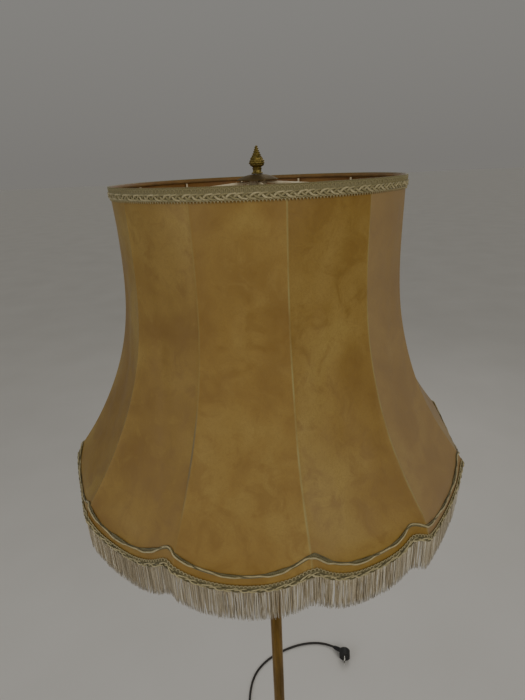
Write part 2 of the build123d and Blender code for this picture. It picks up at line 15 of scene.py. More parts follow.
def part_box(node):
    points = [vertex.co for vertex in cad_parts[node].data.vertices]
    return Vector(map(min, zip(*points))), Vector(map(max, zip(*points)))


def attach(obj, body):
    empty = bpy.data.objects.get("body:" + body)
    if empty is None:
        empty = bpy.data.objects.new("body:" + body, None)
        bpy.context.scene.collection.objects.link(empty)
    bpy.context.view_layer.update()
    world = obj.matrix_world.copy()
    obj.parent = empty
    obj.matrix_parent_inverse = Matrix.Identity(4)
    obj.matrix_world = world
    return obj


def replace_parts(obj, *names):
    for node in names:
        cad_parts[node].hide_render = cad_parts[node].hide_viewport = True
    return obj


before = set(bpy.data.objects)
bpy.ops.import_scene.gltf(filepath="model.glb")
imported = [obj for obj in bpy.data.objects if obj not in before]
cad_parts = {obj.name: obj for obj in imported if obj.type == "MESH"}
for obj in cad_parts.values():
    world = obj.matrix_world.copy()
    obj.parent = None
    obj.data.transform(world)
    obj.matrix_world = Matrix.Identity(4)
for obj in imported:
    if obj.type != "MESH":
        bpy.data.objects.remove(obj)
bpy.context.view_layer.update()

MM = 0.001

# Driving values: lengths in metres, angles in radians ---------------------------------------

RIM_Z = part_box("top_braid")[1].z      # top edge of the shade's upper trim
PANELS = 12
STEP = 2 * math.pi / PANELS           # angle of one panel
SEAM_ANGLE = math.radians(-81.65)     # direction of the first seam
WAIST_RADIUS = 0.190                  # what the flare starts from, at the rim
RIM_FLARE = 0.005                     # the parchment opens out this much more at the rim
RIM_FLARE_DEPTH = 0.190               # and has closed again at this depth
FLARE_RADIUS = 0.301                  # radius that the cubic flare would reach
FLARE_DEPTH = 0.388                   # at this depth
CURL_DEPTH = 0.372                    # the flare turns back towards the vertical below this
CURL_LENGTH = 0.046                   # and would be vertical this much lower
CUSP_DEPTH = 0.392                    # rim to the points of the scalloped hem
SCALLOP = 0.026                       # drop of each scallop below its cusps
PARCHMENT = 0.0008
TRIM_HEIGHT = 0.0155                  # a little less than the CAD's plain band
FRINGE_LENGTH = 0.050
HEM_CORD_LIFT = 0.0155                # hem to the cord sewn above the fringe's heading
LEAN_START = 0.200                    # the sewn shade hangs towards -X below this depth
LEAN_RUN = 0.120                      # and fully so this much lower
LEAN = 0.0018                         # by this much on average
LEAN_SPREAD = 0.0008                  # more on its -X side, less on its +X side, where ribs are close

# The hem was cut and sewn by hand: where each cusp has slipped to along the hem, in degrees,
# and how much lower it hangs, in metres, from the first seam onwards.
CUSP_SLIP = (0.3, -4.0, -0.6, 0.8, -0.5, 0.4, -0.9, 0.6, 0.0, -0.4, -0.8, -1.8)
CUSP_SAG = (0.000, 0.007, 0.001, 0.0, 0.0015, 0.0005, 0.0, 0.001, 0.0, 0.001, 0.007, 0.001)
SCALLOP_STEPS = 240                   # places along one scallop
HEM_ROUNDING = 49                     # places averaged to round the hem's cusps
CORD_ROUNDING = 45                    # and those of the cord above it

# From the first panel onwards: how light its skin is, which is partly its own tone and partly painted
# light and shade for how light falls on that panel, and how much painted sheen it has, a pale
# reflection of grazing light. From the first seam onwards: how far its pale line shows, and how far
# a grey line darkens its lower part.
PANEL_TONE_AND_SHADE = (0.48, 0.64, 0.55, 0.5, 0.6, 0.45, 0.55, 0.65, 0.5, 0.42, 0.56, 0.61)
PANEL_PAINTED_SHEEN = (0.0, 0.34, 0.45, 0.12, 0.05, 0.1, 0.0, 0.05, 0.1, 0.04, 0.02, 0.06)
LAP_SHOWS = (1.0, 0.9, 0.5, 0.7, 0.6, 0.8, 0.5, 0.7, 0.6, 0.4, 0.3, 0.3)
LAP_GREY_LINE = (0.0, 0.1, 0.0, 0.1, 0.0, 0.2, 0.0, 0.0, 0.3, 0.0, 0.6, 1.0)
LAP_COLOUR = (0.42, 0.34, 0.12)       # skin scraped thin where two panels lap
GREY_LINE_COLOUR = (0.14, 0.13, 0.085)    # grey line down the lower part of some seams
PAINTED_SHEEN_COLOUR = (0.4, 0.3, 0.2)        # painted sheen: pale reflection of grazing light on the panels towards the window
LAP = 0.0015                          # half the width of the pale seam line
PANEL_COLUMNS = 26                    # places across each panel's mesh, and rows down it
PANEL_ROWS = 72

CORD_RADIUS = 0.0035
COIL_CENTRE = (-0.1371, 0.2106)
COIL_OUTER = 0.0415                   # radii of the coil's turns
COIL_INNER = 0.0345
COIL_LAYS = [                         # radius and height of each turn
    (COIL_OUTER, CORD_RADIUS),
    (COIL_INNER, CORD_RADIUS),
    (COIL_INNER, 3 * CORD_RADIUS),
    (COIL_OUTER, 3 * CORD_RADIUS),
    ((COIL_OUTER + COIL_INNER) / 2, 5 * CORD_RADIUS),
]
COIL_POINTS = 16                      # control points in one turn
COIL_START = math.radians(23.5)
COIL_TURNS = 4.93

CAMERA_PLACE = (0, -0.67639, RIM_Z + 0.01793)
CAMERA_PITCH = math.radians(21.6784)  # downwards
CAMERA_ROLL = math.radians(2.53191)
CAMERA_YAW = math.radians(-0.29367)
CAMERA_LENS = 23.99                   # on a sensor 36 mm wide
FLOOR_HALF = 60.0                     # so wide that its far edge lies on the horizon

# Camera -------------------------------------------------------------------------------------


def make_camera():
    """A phone's wide lens, close to the shade and looking down past it."""
    heading = Vector((math.sin(CAMERA_YAW), math.cos(CAMERA_YAW), 0))
    ahead = math.cos(CAMERA_PITCH) * heading - Vector((0, 0, math.sin(CAMERA_PITCH)))
    level = Vector((heading.y, -heading.x, 0))
    upright = level.cross(ahead)
    right = math.cos(CAMERA_ROLL) * level - math.sin(CAMERA_ROLL) * upright
    up = math.sin(CAMERA_ROLL) * level + math.cos(CAMERA_ROLL) * upright
    data = bpy.data.cameras.new("camera")
    data.sensor_width = 36.0
    data.lens = CAMERA_LENS
    camera = bpy.data.objects.new("camera", data)
    bpy.context.scene.collection.objects.link(camera)
    turn = Matrix((right, up, -ahead)).transposed().to_4x4()
    camera.matrix_world = Matrix.Translation(CAMERA_PLACE) @ turn
    bpy.context.scene.camera = camera


make_camera()


# Shader building blocks ---------------------------------------------------------------------


class Paint:
    """One procedural material: a Principled shader and short ways to add what feeds it."""

    def __init__(self, name, **constants):
        self.material = bpy.data.materials.new(name)
        self.material.use_nodes = True
        self.tree = self.material.node_tree
        self.tree.nodes.clear()
        self.shader = self.tree.nodes.new("ShaderNodeBsdfPrincipled")
        output = self.tree.nodes.new("ShaderNodeOutputMaterial")
        self.tree.links.new(self.shader.outputs[0], output.inputs[0])
        for socket, value in constants.items():
            self.shader.inputs[socket.replace("_", " ")].default_value = value
        self.place = self.node("ShaderNodeTexCoord").outputs["Object"]

    def node(self, kind, **settings):
        made = self.tree.nodes.new(kind)
        for key, value in settings.items():
            setattr(made, key, value)
        return made

    def feed(self, socket, value):
        """Link an output, or set a constant."""
        if isinstance(value, bpy.types.NodeSocket):
            self.tree.links.new(value, socket)
        else:
            socket.default_value = value

    def attribute(self, name):
        return self.node("ShaderNodeAttribute", attribute_name=name).outputs["Fac"]

    def stretched(self, x, y, z):
        """Object coordinates scaled per axis."""
        mapping = self.node("ShaderNodeMapping")
        self.feed(mapping.inputs["Vector"], self.place)
        mapping.inputs["Scale"].default_value = (x, y, z)
        return mapping.outputs[0]

    def noise(self, scale, detail=3.0, roughness=0.5, vector=None, seed=None, warp=0.0):
        made = self.node("ShaderNodeTexNoise", noise_dimensions="4D")
        self.feed(made.inputs["Vector"], vector or self.place)
        made.inputs["Scale"].default_value = scale
        made.inputs["Detail"].default_value = detail
        made.inputs["Roughness"].default_value = roughness
        made.inputs["Distortion"].default_value = warp
        self.feed(made.inputs["W"], seed if seed is not None else 0.0)
        return made.outputs["Fac"]

    def ramp(self, value, *stops):
        """Piecewise colour or number: stops are (position, colour or number)."""
        made = self.node("ShaderNodeValToRGB")
        points = made.color_ramp.elements
        while len(points) < len(stops):
            points.new(0.5)
        for point, (position, colour) in zip(points, stops):
            shown = colour if isinstance(colour, tuple) else (colour,) * 3
            point.position = position
            point.color = (*shown, 1.0)
        self.feed(made.inputs["Fac"], value)
        return made.outputs["Color"]

    def mix(self, factor, first, second, blend="MIX"):
        made = self.node("ShaderNodeMix", data_type="RGBA", blend_type=blend)
        self.feed(made.inputs["Factor"], factor)
        for index, value in ((6, first), (7, second)):
            self.feed(made.inputs[index], (*value, 1.0) if isinstance(value, tuple) else value)
        return made.outputs[2]

    def maths(self, operation, first, second=0.0):
        made = self.node("ShaderNodeMath", operation=operation)
        self.feed(made.inputs[0], first)
        self.feed(made.inputs[1], second)
        return made.outputs[0]

    def bump(self, height, distance, strength=1.0):
        made = self.node("ShaderNodeBump")
        made.inputs["Strength"].default_value = strength
        made.inputs["Distance"].default_value = distance
        self.feed(made.inputs["Height"], height)
        self.tree.links.new(made.outputs[0], self.shader.inputs["Normal"])

    def colour(self, value):
        self.feed(self.shader.inputs["Base Color"], value)

    def roughness(self, value):
        self.feed(self.shader.inputs["Roughness"], value)


def metal(name, bright, dull, smooth, rough, scale=40.0, drawn=None):
    """Aged metal: patches of tarnish, fine scratches and uneven gloss."""
    paint = Paint(name, Metallic=1.0)
    vector = paint.stretched(*drawn) if drawn else None
    patches = paint.noise(scale, 5.0, 0.6, vector)
    specks = paint.noise(scale * 14, 2.0, 0.6, vector)
    tarnish = paint.ramp(patches, (0.36, 0.0), (0.68, 1.0))
    base = paint.mix(tarnish, bright, dull)
    paint.colour(paint.mix(paint.ramp(specks, (0.55, 0.0), (0.75, 0.35)), base, dull))
    paint.roughness(paint.ramp(patches, (0.3, smooth), (0.7, rough)))
    paint.bump(specks, 0.0002, 0.25)
    return paint.material


def moulded(name, tone, gloss, grain=1200.0):
    """Moulded plastic, rubber or phenolic resin with a fine grain."""
    paint = Paint(name)
    marks = paint.noise(grain, 3.0, 0.6)
    broad = paint.noise(45.0, 4.0, 0.5)
    light = tuple(1.7 * c + 0.004 for c in tone)
    paint.colour(paint.mix(paint.ramp(broad, (0.35, 0.0), (0.7, 1.0)), tone, light))
    paint.roughness(paint.ramp(broad, (0.3, gloss), (0.7, gloss + 0.15)))
    paint.bump(marks, 0.0001, 0.3)
    return paint.material


def felt():
    paint = Paint("felt", Roughness=0.95, Sheen_Weight=0.4, Sheen_Roughness=0.5)
    hairs = paint.noise(1800.0, 4.0, 0.7)
    paint.colour(paint.ramp(hairs, (0.3, (0.02, 0.045, 0.025)), (0.7, (0.05, 0.1, 0.055))))
    paint.bump(hairs, 0.0006, 0.6)
    return paint.material


def cast_iron():
    paint = Paint("cast_iron", Metallic=0.8)
    grain = paint.noise(500.0, 5.0, 0.6)
    paint.colour(paint.ramp(grain, (0.3, (0.02, 0.02, 0.022)), (0.7, (0.07, 0.065, 0.06))))
    paint.roughness(paint.ramp(grain, (0.3, 0.5), (0.7, 0.75)))
    paint.bump(grain, 0.0006, 0.6)
    return paint.material


def opal_glass():
    paint = Paint("opal_glass", Roughness=0.12, Coat_Weight=0.4, Coat_Roughness=0.05)
    haze = paint.noise(30.0, 3.0, 0.5)
    paint.colour(paint.ramp(haze, (0.3, (0.74, 0.73, 0.69)), (0.7, (0.84, 0.83, 0.8))))
    return paint.material


def cream_wire():
    """Cream coating on the shade's wire frame, a little chipped and yellowed."""
    paint = Paint("white_wire", Roughness=0.45)
    patches = paint.noise(90.0, 4.0, 0.6)
    chips = paint.noise(420.0, 4.0, 0.6)
    coat = paint.ramp(patches, (0.3, (0.62, 0.5, 0.3)), (0.7, (0.8, 0.72, 0.5)))
    paint.colour(paint.mix(paint.ramp(chips, (0.68, 0.0), (0.72, 0.8)), coat, (0.3, 0.2, 0.1)))
    paint.bump(chips, 0.0002, 0.4)
    return paint.material


def parchment(name, low, middle, high, vein, gloss):
    """Mottled skin: clouds, blotches and fine veins, new in each panel, and pale at its laps; each
    panel's lightness also carries painted light and shade, and some panels a painted sheen.
    """
    paint = Paint(name, Coat_Roughness=0.4, Coat_Weight=0.12, Specular_IOR_Level=0.35)
    seed = paint.attribute("skin")
    clouds = paint.noise(9.0, 3.0, 0.55, seed=seed, warp=0.6)
    blotches = paint.noise(34.0, 5.0, 0.62, seed=seed, warp=0.9)
    veins = paint.noise(120.0, 6.0, 0.7, seed=seed, warp=1.6)
    cloudy = paint.ramp(clouds, (0.3, low), (0.5, middle), (0.7, high))
    blotched = paint.mix(paint.ramp(blotches, (0.36, 0.55), (0.5, 0.0)), cloudy, low)
    lit = paint.mix(paint.ramp(blotches, (0.55, 0.0), (0.72, 0.45)), blotched, high)
    ridge = paint.maths("ABSOLUTE", paint.maths("SUBTRACT", veins, 0.5))
    lined = paint.mix(paint.ramp(ridge, (0.0, 0.5), (0.03, 0.0)), lit, vein)
    rubbed = paint.ramp(paint.noise(21.0, 4.0, 0.6), (0.38, 0.3), (0.6, 1.0))
    worn = paint.maths("MULTIPLY", paint.attribute("lap"), rubbed)
    # A grey line darkens the lower part of some seams.
    edge = paint.mix(paint.attribute("grey_line"), LAP_COLOUR, GREY_LINE_COLOUR)
    lapped = paint.mix(worn, lined, edge)
    # Painted sheen: a pale reflection of grazing light, mixed into some panels.
    with_painted_sheen = paint.mix(paint.attribute("painted_sheen"), lapped, PAINTED_SHEEN_COLOUR)
    # Each panel's lightness: partly its skin's own tone, partly painted light and shade for how light
    # falls on it.
    shade = paint.ramp(paint.attribute("tone_and_shade"), (0.0, 0.66), (0.5, 0.9), (1.0, 1.14))
    paint.colour(paint.mix(1.0, with_painted_sheen, shade, "MULTIPLY"))
    paint.roughness(paint.ramp(blotches, (0.3, gloss), (0.7, gloss + 0.18)))
    coarse = paint.maths("MULTIPLY", blotches, 0.8)
    fine = paint.maths("MULTIPLY", veins, 0.2)
    paint.bump(paint.maths("ADD", coarse, fine), 0.0012, 0.5)
    return paint.material


def spun_thread(name, dark, middle, light, twist, sheen):
    """Rayon thread: the tone attribute picks the yarn's colour, in places with painted light and
    shade in it, and fine twist breaks its gloss.
    """
    paint = Paint(name, Roughness=0.45, Sheen_Weight=sheen, Sheen_Roughness=0.35)
    yarn = paint.ramp(paint.attribute("tone"), (0.0, dark), (0.5, middle), (1.0, light))
    fibre = paint.noise(twist, 3.0, 0.6)
    patches = paint.noise(26.0, 3.0, 0.5)
    aged = paint.mix(paint.ramp(patches, (0.4, 0.0), (0.75, 0.3)), yarn, middle)
    paint.colour(paint.mix(paint.ramp(fibre, (0.3, 0.45), (0.55, 0.0)), aged, dark))
    paint.roughness(paint.ramp(fibre, (0.3, 0.62), (0.7, 0.36)))
    paint.bump(fibre, 0.0003, 0.7)
    return paint.material


def pale_floor():
    paint = Paint("pale_floor", Roughness=0.6)
    cloud = paint.noise(2.0, 4.0, 0.5)
    paint.colour(paint.ramp(cloud, (0.3, (0.72, 0.7, 0.66)), (0.7, (0.77, 0.75, 0.71))))
    paint.bump(paint.noise(90.0, 4.0, 0.6), 0.001, 0.1)
    return paint.material


def metals():
    """All metals: bright and dull tone, then the gloss of each, and how fine their patches are."""
    return {
        "polished_brass": metal("polished_brass", (0.62, 0.42, 0.15), (0.3, 0.19, 0.07), 0.2, 0.42),
        "pole_brass": metal("pole_brass", (0.28, 0.165, 0.036), (0.12, 0.068, 0.016), 0.24, 0.45,
                            scale=60.0, drawn=(1, 1, 0.12)),
        "finial_brass": metal("finial_brass", (0.4, 0.31, 0.09), (0.12, 0.09, 0.025), 0.5, 0.68,
                              scale=300.0),
        "aged_bronze": metal("aged_bronze", (0.2, 0.145, 0.066), (0.125, 0.09, 0.038), 0.62, 0.8,
                             scale=70.0),
        "plated_steel": metal("plated_steel", (0.62, 0.62, 0.6), (0.38, 0.37, 0.34), 0.3, 0.45,
                              scale=90.0),
        "screw_caps": metal("screw_caps", (0.74, 0.74, 0.72), (0.45, 0.44, 0.42), 0.25, 0.4,
                            scale=90.0),
        "contact_metal": metal("contact_metal", (0.75, 0.74, 0.7), (0.4, 0.38, 0.34), 0.15, 0.3,
                               scale=120.0),
    }


def skins_and_threads():
    """Parchment, from its low to its high tone, and yarns, from dark to light."""
    return {
        "parchment": parchment("parchment", low=(0.265, 0.14, 0.02), middle=(0.345, 0.205, 0.037),
                               high=(0.425, 0.28, 0.066), vein=(0.265, 0.155, 0.03), gloss=0.42),
        # The inside is a darker copy of the parchment: painted shade inside the lampshade.
        "shaded_parchment_inside": parchment("shaded_parchment_inside", low=(0.2, 0.08, 0.01),
                                      middle=(0.27, 0.12, 0.016), high=(0.34, 0.17, 0.03),
                                      vein=(0.16, 0.06, 0.01), gloss=0.5),
        "gimp_braid": spun_thread("gimp_braid", dark=(0.08, 0.068, 0.024), middle=(0.28, 0.235, 0.1),
                                  light=(0.6, 0.51, 0.28), twist=2200.0, sheen=0.25),
        "silk_fringe": spun_thread("silk_fringe", dark=(0.2, 0.145, 0.07), middle=(0.56, 0.47, 0.31),
                                   light=(0.92, 0.86, 0.7), twist=1500.0, sheen=0.4),
    }


MATERIALS = {
    **metals(),
    **skins_and_threads(),
    "felt": felt(),
    "cast_iron": cast_iron(),
    "bakelite": moulded("bakelite", (0.02, 0.012, 0.009), 0.2),
    "black_flex": moulded("black_flex", (0.016, 0.012, 0.01), 0.42),
    "black_rubber": moulded("black_rubber", (0.012, 0.012, 0.012), 0.45),
    "opal_glass": opal_glass(),
    "white_wire": cream_wire(),
    "rim_wrap": moulded("rim_wrap", (0.16, 0.09, 0.025), 0.7, grain=700.0),
}


def finish_the_frame():
    """Every CAD node takes the finish of its own material slot; the upper ring is wrapped in tape."""
    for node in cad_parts.values():
        for held in node.material_slots:
            held.material = MATERIALS[held.material.name.split(".")[0]]
    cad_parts["top_ring"].material_slots[0].material = MATERIALS["rim_wrap"]


# The flex: one spline from the base, through the coil, to the plug --------------------------

LEAD = [(-0.0712, 0.1631, 0.0090), (-0.0784, 0.1796, 0.0088), (-0.0868, 0.1988, 0.0047)]
RUN = [(-0.0978, 0.2360, 0.0150), (-0.0966, 0.2680, 0.0074), (-0.0972, 0.3030, 0.0035),
       (-0.0950, 0.3400, 0.0035), (-0.0870, 0.3770, 0.0035), (-0.0690, 0.4110, 0.0035),
       (-0.0380, 0.4415, 0.0035), (0.0000, 0.4645, 0.0035), (0.0380, 0.4810, 0.0035),
       (0.0760, 0.4925, 0.0035), (0.1160, 0.4985, 0.0035), (0.1540, 0.4970, 0.0035),
       (0.1840, 0.4890, 0.0042), (0.2018, 0.4763, 0.0088)]


def coil_points():
    """Turns that lie beside and on each other; each passes to the next within its last part."""
    points = []
    for k in range(int(COIL_TURNS * COIL_POINTS) + 1):
        turns = k / COIL_POINTS
        lay = int(turns)
        radius, height = COIL_LAYS[lay]
        if lay + 1 < len(COIL_LAYS):
            share = max(0.0, (turns - lay - 0.8) / 0.2)
            radius += (COIL_LAYS[lay + 1][0] - radius) * share
            height += (COIL_LAYS[lay + 1][1] - height) * share
        angle = COIL_START + 2 * math.pi * turns
        x = COIL_CENTRE[0] + radius * math.cos(angle)
        y = COIL_CENTRE[1] + radius * math.sin(angle)
        points.append((x, y, height))
    return points


def make_flex():
    curve = bpy.data.curves.new("mains_flex", "CURVE")
    curve.dimensions = "3D"
    spline = curve.splines.new("NURBS")
    points = LEAD + coil_points() + RUN
    spline.points.add(len(points) - 1)
    for held, point in zip(spline.points, points):
        held.co = (*point, 1.0)
    spline.order_u = 3
    spline.use_endpoint_u = True
    curve.resolution_u = 6
    curve.bevel_depth = CORD_RADIUS
    curve.bevel_resolution = 4
    curve.use_fill_caps = True
    flex = bpy.data.objects.new("mains_flex", curve)
    bpy.context.scene.collection.objects.link(flex)
    curve.materials.append(MATERIALS["black_flex"])
    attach(flex, "stand")
    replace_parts(flex, "cord_lead", "cord_coil", "cord_run")


# The shade's surface ------------------------------------------------------------------------


def rib_radius(depth):
    """Radius along a seam, as in the CAD: a cubic flare whose foot curls back to the vertical."""
    depth = np.asarray(depth, float)
    spread = FLARE_RADIUS - WAIST_RADIUS
    share = np.clip(depth / RIM_FLARE_DEPTH, 0.0, 1.0)
    rim = RIM_FLARE * (1 - share * share * (3 - 2 * share))
    below = np.maximum(depth - CURL_DEPTH, 0.0)
    slope = 3 * spread * CURL_DEPTH ** 2 / FLARE_DEPTH ** 3
    flare = WAIST_RADIUS + rim + spread * (np.minimum(depth, CURL_DEPTH) / FLARE_DEPTH) ** 3
    return flare + slope * below - slope * below ** 2 / (2 * CURL_LENGTH)


def shade_radius(angle, depth):
    """Radius of the shade at an angle counted from the first seam: an arc across each panel."""
    rib = rib_radius(depth)
    flatness = 0.96 * (1 - (1 - np.clip(np.asarray(depth) / FLARE_DEPTH, 0, 1)) ** 4)
    middle = rib * (1 - flatness * (1 - math.cos(STEP / 2)))
    half_width = rib * math.sin(STEP / 2)
    rise = middle - rib * math.cos(STEP / 2)
    arc = (half_width ** 2 + rise ** 2) / (2 * rise)
    centre = middle - arc
    local = np.mod(angle, STEP) - STEP / 2
    return centre * np.cos(local) + np.sqrt(arc ** 2 - (centre * np.sin(local)) ** 2)


def lean(depth, turned):
    """Shift of the sewn shade along X at a depth, in a direction round the axis."""
    share = np.clip((np.asarray(depth, float) - LEAN_START) / LEAN_RUN, 0.0, 1.0)
    return (LEAN_SPREAD * np.cos(turned) - LEAN) * share * share * (3 - 2 * share)


def on_shade(angle, depth, proud=0.0):
    """Points at angles from the first seam and depths below the rim, a little off the skin."""
    angle, depth, proud = np.broadcast_arrays(np.asarray(angle, float), depth, proud)
    out = outward(angle, depth)
    radius = shade_radius(angle, depth)
    turned = angle + SEAM_ANGLE
    across = radius * np.cos(turned) + lean(depth, turned)
    skin = np.stack([across, radius * np.sin(turned), RIM_Z - depth], axis=-1)
    return skin + out * proud[..., None]


def outward(angle, depth):
    """Unit vectors off the shade, without the corner at the seams."""
    slope = (rib_radius(depth + 1e-4) - rib_radius(depth - 1e-4)) / 2e-4
    length = np.sqrt(1 + slope ** 2)
    turned = angle + SEAM_ANGLE
    return np.stack([np.cos(turned) / length, np.sin(turned) / length, slope / length], axis=-1)


def scallop_table(window):
    """Depth of the hem over one panel: an arc between cusps that a moving average rounds."""
    half_width = FLARE_RADIUS * math.sin(STEP / 2)
    across = half_width * np.linspace(-1, 1, SCALLOP_STEPS + 1)
    arc = (half_width ** 2 + SCALLOP ** 2) / (2 * SCALLOP)
    depth = CUSP_DEPTH + np.sqrt(arc ** 2 - across ** 2) - (arc - SCALLOP)
    around = np.concatenate([depth[:-1]] * 3)
    weights = np.hanning(window)
    rounded = np.convolve(around, weights / weights.sum(), "same")
    return rounded[SCALLOP_STEPS:2 * SCALLOP_STEPS + 1]


HEM_TABLE = scallop_table(HEM_ROUNDING)
CORD_TABLE = scallop_table(CORD_ROUNDING)


def along_scallops(angle, table):
    """Depth of a line that follows the scallops, at angles from the first seam."""
    turns = np.arange(-2, PANELS + 3)
    slip = np.array(CUSP_SLIP)[turns % PANELS]
    cusps = turns * STEP + np.radians(slip)
    place = np.interp(angle, cusps, turns)
    depth = np.interp(np.mod(place, 1.0), np.linspace(0, 1, len(table)), table)
    nearest = np.round(place).astype(int)
    return depth + np.array(CUSP_SAG)[nearest % PANELS] * np.cos(math.pi * (place - nearest)) ** 2


def hem_depth(angle):
    return along_scallops(angle, HEM_TABLE)


def hem_cord_depth(angle):
    return along_scallops(angle, CORD_TABLE) - HEM_CORD_LIFT


def even_angles(count, depth_at):
    """Angles of points spread evenly along a line that runs round the whole shade."""
    angles = np.linspace(0, 2 * math.pi, 4801)
    line = on_shade(angles, depth_at(angles))
    length = np.concatenate([[0], np.cumsum(np.linalg.norm(np.diff(line, axis=0), axis=1))])
    return np.interp(np.arange(count) * length[-1] / count, length, angles)


# Meshes from many strands -------------------------------------------------------------------


def tube_faces(lower, upper):
    """Quads between rows of vertex numbers that each close on themselves."""
    corners = [lower, np.roll(lower, -1, axis=1), np.roll(upper, -1, axis=1), upper]
    return np.stack(corners, axis=-1).reshape(-1, 4).tolist()


class Strands:
    """Collects round or flattened strands, each a tube along a line of points, into one mesh."""

    def __init__(self):
        self.points, self.faces, self.tones = [], [], []
        self.count = 0

    def add(self, line, out, width, height, tone, sides=6, closed=True):
        """A strand along line, width across and height off the surface, whose normals are out."""
        ahead = np.roll(line, -1, axis=0) - np.roll(line, 1, axis=0)
        if not closed:
            ahead[0], ahead[-1] = line[1] - line[0], line[-1] - line[-2]
        ahead /= np.linalg.norm(ahead, axis=1)[:, None]
        side = np.cross(ahead, out)
        side /= np.linalg.norm(side, axis=1)[:, None]
        off = np.cross(side, ahead)
        turn = 2 * math.pi * np.arange(sides) / sides
        width, height = (np.broadcast_to(value, len(line)) for value in (width, height))
        sideways = (np.cos(turn)[None, :] * width[:, None] / 2)[..., None]
        upwards = (np.sin(turn)[None, :] * height[:, None] / 2)[..., None]
        rings = line[:, None, :] + side[:, None, :] * sideways + off[:, None, :] * upwards
        rows = len(line)
        index = self.count + np.arange(rows * sides).reshape(rows, sides)
        lower = index if closed else index[:-1]
        upper = np.roll(index, -1, axis=0) if closed else index[1:]
        self.faces.extend(tube_faces(lower, upper))
        if not closed:
            self.faces.append(index[0][::-1].tolist())
            self.faces.append(index[-1].tolist())
        self.points.append(rings.reshape(-1, 3))
        tones = np.asarray(tone, float).reshape(-1, 1)
        self.tones.append(np.broadcast_to(tones, (rows, sides)).reshape(-1))
        self.count += rows * sides

    def make(self, name, slot):
        tones = {"tone": np.concatenate(self.tones)}
        points = np.concatenate(self.points)
        return make_piece(name, points, self.faces, [MATERIALS[slot]], "shade", tones)


def make_piece(name, points, faces, materials, body, numbers):
    """A mesh object with its attributes, riding on a body of the frame."""
    mesh = bpy.data.meshes.new(name)
    mesh.from_pydata(points.tolist(), [], faces)
    for key, values in numbers.items():
        held = mesh.attributes.new(key, "FLOAT", "POINT")
        held.data.foreach_set("value", np.asarray(values, np.float32))
    for material in materials:
        mesh.materials.append(material)
    mesh.polygons.foreach_set("use_smooth", [True] * len(mesh.polygons))
    mesh.update()
    piece = bpy.data.objects.new(name, mesh)
    bpy.context.scene.collection.objects.link(piece)
    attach(piece, body)
    return piece


# Parchment panels ---------------------------------------------------------------------------


def waves(rng, across, down):
    """Shallow waviness of stretched skin, none along the laps."""
    sway = np.zeros((len(down), len(across)))
    for count in (1.3, 2.1, 3.4, 5.3):
        first, second = rng.uniform(0, 6.3), rng.uniform(0, 6.3)
        sideways = np.sin(2.2 * count * across + first)
        sway += sideways * np.sin(4.6 * count * down[:, None] + second) / count
    return 0.0009 * sway * (1 - across ** 2) * np.sin(math.pi * down[:, None]) ** 0.7


def grid_faces(index):
    """Quads over a grid of vertex numbers."""
    quads = np.stack([index[:-1, :-1], index[1:, :-1], index[1:, 1:], index[:-1, 1:]], axis=-1)
    return quads.reshape(-1, 4).tolist()


def panel_columns():
    """Places across a panel, -1 and 1 at its seams, closer together within the laps."""
    lap = LAP / (rib_radius(0.25) * math.sin(STEP / 2))
    steps = np.array([0.0, 0.35, 0.7, 1.0])
    inner = np.linspace(-1 + lap, 1 - lap, PANEL_COLUMNS)[1:-1]
    across = np.concatenate([-1 + lap * steps, inner, 1 - lap * steps[::-1]])
    off_lap = np.clip((1 - np.abs(across)) / lap, 0, 1)
    return across, off_lap


def panel_numbers(number, across, off_lap, down, shape):
    """What the parchment's colours depend on: the panel, its lightness with painted light and shade,
    its painted sheen, its grey line, and its laps.
    """
    seams = np.where(across < 0, number - 1, number) % PANELS
    fade = 1 - off_lap ** 1.5
    lower = np.clip((down - 0.58) / 0.32, 0, 1)
    grey_line = np.array(LAP_GREY_LINE)[seams] * np.sin(math.pi * lower) ** 0.7
    return {
        "skin": np.full(shape, 3.7 * number),
        # Partly the skin's own tone, partly painted light and shade on this panel; a little lighter
        # towards the hem.
        "tone_and_shade": np.broadcast_to(PANEL_TONE_AND_SHADE[number - 1] + 0.1 * (down - 0.5), shape),
        # Painted sheen: pale reflection of grazing light on this panel.
        "painted_sheen": np.full(shape, PANEL_PAINTED_SHEEN[number - 1]),
        "lap": fade * np.clip(np.array(LAP_SHOWS)[seams] + 0.5 * grey_line, 0, 1),
        "grey_line": np.broadcast_to(grey_line, shape),
    }


def sheet_faces(rows, columns):
    """A closed sheet: its outer face, the strip round its edges, and its inner face."""
    grid = np.arange(rows * columns).reshape(rows, columns)
    back = grid + rows * columns
    border = np.concatenate([grid[0], grid[1:, -1], grid[-1, -2::-1], grid[-2:0:-1, 0]])
    beyond = np.roll(border, -1)
    strip = np.stack([border, beyond, beyond + rows * columns, border + rows * columns], axis=-1)
    outside = grid_faces(grid) + strip.tolist()
    return outside, grid_faces(back[:, ::-1])


